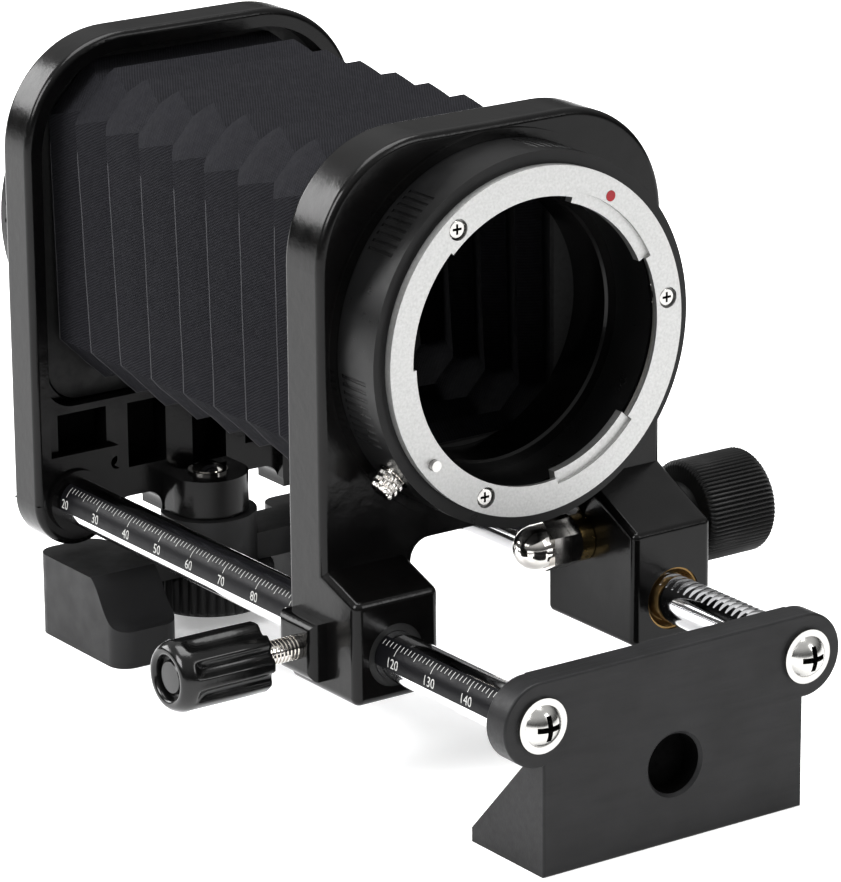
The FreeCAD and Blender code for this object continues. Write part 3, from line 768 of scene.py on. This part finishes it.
def make_recesses():
    # near-black plates on the pocket floors: painted shade in the pockets
    spans = []
    for x0, x1, z0, z1 in POCKETS:
        spans.append((x0 + 0.05, x1 - 0.05, POCKET_FRONT, POCKET_FLOOR, z0 + 0.05, z1 - 0.05))
    boxes("rear_pocket_painted_shade", spans, PAINTED_SHADE, "base")
    # near-black plugs in the bracket screws' cross slots: painted shade in the slots
    spans = []
    for side in (-1, 1):
        spans += cross(side * ROD_X, ROD_Z, CROSS_FRONT, CROSS_BACK, CROSS_LENGTH, CROSS_WIDTH)
    boxes("bracket_screw_slot_shade", spans, PAINTED_SHADE, "base")
    # near-black plugs in the flange screws' cross slots: painted shade in the slots
    spans = []
    for degrees in RING_SCREW_DEGREES:
        x = RING_SCREW_R * math.cos(math.radians(degrees))
        z = AXIS_Z + RING_SCREW_R * math.sin(math.radians(degrees))
        spans += cross(x, z, RING_CROSS_FRONT, RING_CROSS_BACK, RING_CROSS_LENGTH, RING_CROSS_WIDTH)
    boxes("flange_screw_slot_shade", spans, PAINTED_SHADE, "carriage")
    # near-black cup inside the accessory hole: painted shade in the hole
    cup = [
        (-150.3, 0.5), (-150.3, 4.93), (-153.9, 4.93), (-153.9, 4.99), (-150.12, 4.99), (-150.12, 0.5),
    ]
    rings = [ring_y(y, 0.0, HOLE_Z, r, 64) for y, r in cup]
    swept("accessory_hole_painted_shade", rings, PAINTED_SHADE, "base")


# near-black plates and plugs that paint the shade in pockets, slots and the hole
make_recesses()


# ---------------------------------------------------------------- floor, light and camera


def make_floor():
    m = Mat("floor_white", (0.86, 0.86, 0.86), 0.7)
    m.color_from(m.noise(3, 2), (0.85, 0.85, 0.855), (0.88, 0.88, 0.88))
    m.set("Emission Color", (1, 1, 1, 1))
    m.set("Emission Strength", 0.35)
    verts = [(-3, -3, 0), (3, -3, 0), (3, 5, 0), (-3, 5, 0)]
    floor = piece("floor", verts, [(0, 1, 2, 3)], m.mat, None)


def add_light(name, place, target, width, height, watts):
    data = bpy.data.lights.new(name, "AREA")
    data.shape = "RECTANGLE"
    data.size = width
    data.size_y = height
    data.energy = watts
    light = bpy.data.objects.new(name, data)
    light.location = place
    light.rotation_euler = (Vector(target) - Vector(place)).to_track_quat("-Z", "Y").to_euler()
    bpy.context.collection.objects.link(light)


def make_light():
    scene = bpy.context.scene
    scene.world = bpy.data.worlds.new("studio")
    scene.world.use_nodes = True
    tree = scene.world.node_tree
    background = tree.nodes["Background"]
    background.inputs["Strength"].default_value = 1.0
    coord = tree.nodes.new("ShaderNodeTexCoord")
    split = tree.nodes.new("ShaderNodeSeparateXYZ")
    height = tree.nodes.new("ShaderNodeMapRange")
    height.interpolation_type = "SMOOTHSTEP"
    height.inputs["From Min"].default_value = 0.05
    height.inputs["From Max"].default_value = 0.75
    height.inputs["To Min"].default_value = 0.1
    height.inputs["To Max"].default_value = 0.95
    tree.links.new(coord.outputs["Generated"], split.inputs["Vector"])
    tree.links.new(split.outputs["Z"], height.inputs["Value"])
    tree.links.new(height.outputs["Result"], background.inputs["Color"])
    add_light("key_left", (-0.9, -0.1, 0.75), (0, 0, 0.05), 0.55, 0.55, 13.0)
    add_light("top", (0.05, 0.1, 1.1), (0, 0, 0), 0.8, 0.8, 15.0)
    add_light("back_left", (-0.5, 0.9, 0.5), (0, 0, 0.05), 0.7, 0.4, 8.0)
    add_light("front_soft", (0.5, -0.9, 0.6), (0, 0, 0.05), 0.3, 0.5, 3.0)


CAMERA_PLACE = (-447.692, -725.055, 296.913)
CAMERA_AZIMUTH = -34.984
CAMERA_ELEVATION = 17.627
CAMERA_ROLL = -0.008243
FOCAL_LENGTH = 201.34
SENSOR_WIDTH = 36.0


def make_camera():
    azimuth = math.radians(CAMERA_AZIMUTH)
    elevation = math.radians(CAMERA_ELEVATION)
    roll = CAMERA_ROLL
    back = Vector((
        math.sin(azimuth) * math.cos(elevation),
        -math.cos(azimuth) * math.cos(elevation),
        math.sin(elevation),
    ))
    right = Vector((0, 0, 1)).cross(back).normalized()
    up = back.cross(right)
    turned_right = right * math.cos(roll) + up * math.sin(roll)
    turned_up = up * math.cos(roll) - right * math.sin(roll)
    data = bpy.data.cameras.new("camera")
    data.sensor_width = SENSOR_WIDTH
    data.lens = FOCAL_LENGTH
    data.clip_start = 0.01
    camera = bpy.data.objects.new("camera", data)
    matrix = Matrix((turned_right, turned_up, back)).transposed().to_4x4()
    matrix.translation = at(*CAMERA_PLACE)
    camera.matrix_world = matrix
    bpy.context.collection.objects.link(camera)
    bpy.context.scene.camera = camera


make_floor()
make_light()
make_camera()
bpy.context.scene.view_settings.view_transform = "Standard"
bpy.context.scene.view_settings.gamma = 0.9
